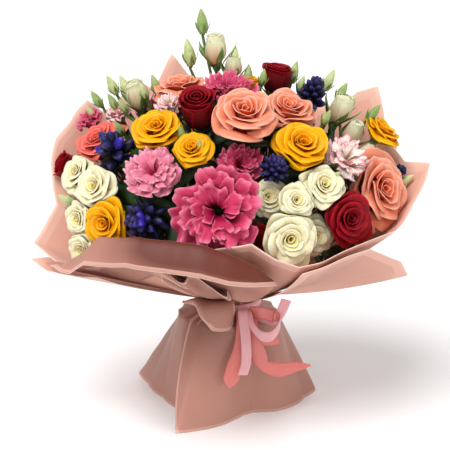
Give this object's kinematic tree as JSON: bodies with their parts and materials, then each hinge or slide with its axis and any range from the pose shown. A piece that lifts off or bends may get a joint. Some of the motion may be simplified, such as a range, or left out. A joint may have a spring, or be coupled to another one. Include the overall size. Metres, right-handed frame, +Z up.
{
  "type": "mixed flower bouquet",
  "caption": "Hand-tied bouquet of roses, spray roses, lisianthus and hyacinths on spiral stems, wrapped in frosted film with satin ribbons, standing on its cut stems",
  "frame": {"origin": "middle of the cut end of the central stem, on the table", "axes": "+Z up, -Y is the front, where the ribbon hangs, +X to the right seen from the front"},
  "size_m": [0.4009, 0.2972, 0.3954],
  "materials": {
    "flower_peach": "soft petals",
    "flower_coral": "soft petals",
    "flower_yellow": "soft petals",
    "flower_red": "velvety petals",
    "flower_white": "soft petals",
    "flower_pink": "frilled petals",
    "flower_blush": "frilled petals with a pink edge",
    "flower_cream": "soft half-open petals",
    "flower_violet": "waxy closed flowers",
    "greenery": "fresh green stems and buds",
    "film": "frosted translucent film",
    "ribbon_pale": "satin",
    "ribbon_coral": "satin"
  },
  "bodies": {
    "root": {"hyacinth_violet_1": "flower_violet", "hyacinth_violet_2": "flower_violet", "hyacinth_violet_3": "flower_violet", "hyacinth_violet_4": "flower_violet", "hyacinth_violet_5": "flower_violet", "lisianthus_blush_1": "flower_blush", "lisianthus_blush_2": "flower_blush", "lisianthus_blush_3": "flower_blush", "lisianthus_cream_1": "flower_cream", "lisianthus_cream_2": "flower_cream", "lisianthus_cream_3": "flower_cream", "lisianthus_cream_4": "flower_cream", "lisianthus_cream_5": "flower_cream", "lisianthus_cream_6": "flower_cream", "lisianthus_pink_1": "flower_pink", "lisianthus_pink_2": "flower_pink", "lisianthus_pink_3": "flower_pink", "lisianthus_pink_4": "flower_pink", "lisianthus_pink_5": "flower_pink", "lisianthus_pink_6": "flower_pink", "ribbon_coral": "ribbon_coral", "ribbon_pale": "ribbon_pale", "rose_coral_1": "flower_coral", "rose_peach_1": "flower_peach", "rose_peach_2": "flower_peach", "rose_peach_3": "flower_peach", "rose_peach_4": "flower_peach", "rose_peach_5": "flower_peach", "rose_red_1": "flower_red", "rose_red_2": "flower_red", "rose_red_3": "flower_red", "rose_red_4": "flower_red", "rose_red_5": "flower_red", "rose_red_6": "flower_red", "rose_white_1": "flower_white", "rose_white_2": "flower_white", "rose_white_3": "flower_white", "rose_white_4": "flower_white", "rose_white_5": "flower_white", "rose_white_6": "flower_white", "rose_white_7": "flower_white", "rose_white_8": "flower_white", "rose_white_9": "flower_white", "rose_yellow_1": "flower_yellow", "rose_yellow_2": "flower_yellow", "rose_yellow_3": "flower_yellow", "rose_yellow_4": "flower_yellow", "rose_yellow_5": "flower_yellow", "rose_yellow_6": "flower_yellow", "stems_and_buds": "greenery", "wrap_back_left": "film", "wrap_back_right": "film", "wrap_frill": "film", "wrap_front_left": "film", "wrap_front_right": "film", "wrap_left": "film", "wrap_skirt": "film"}
  },
  "joints": []
}
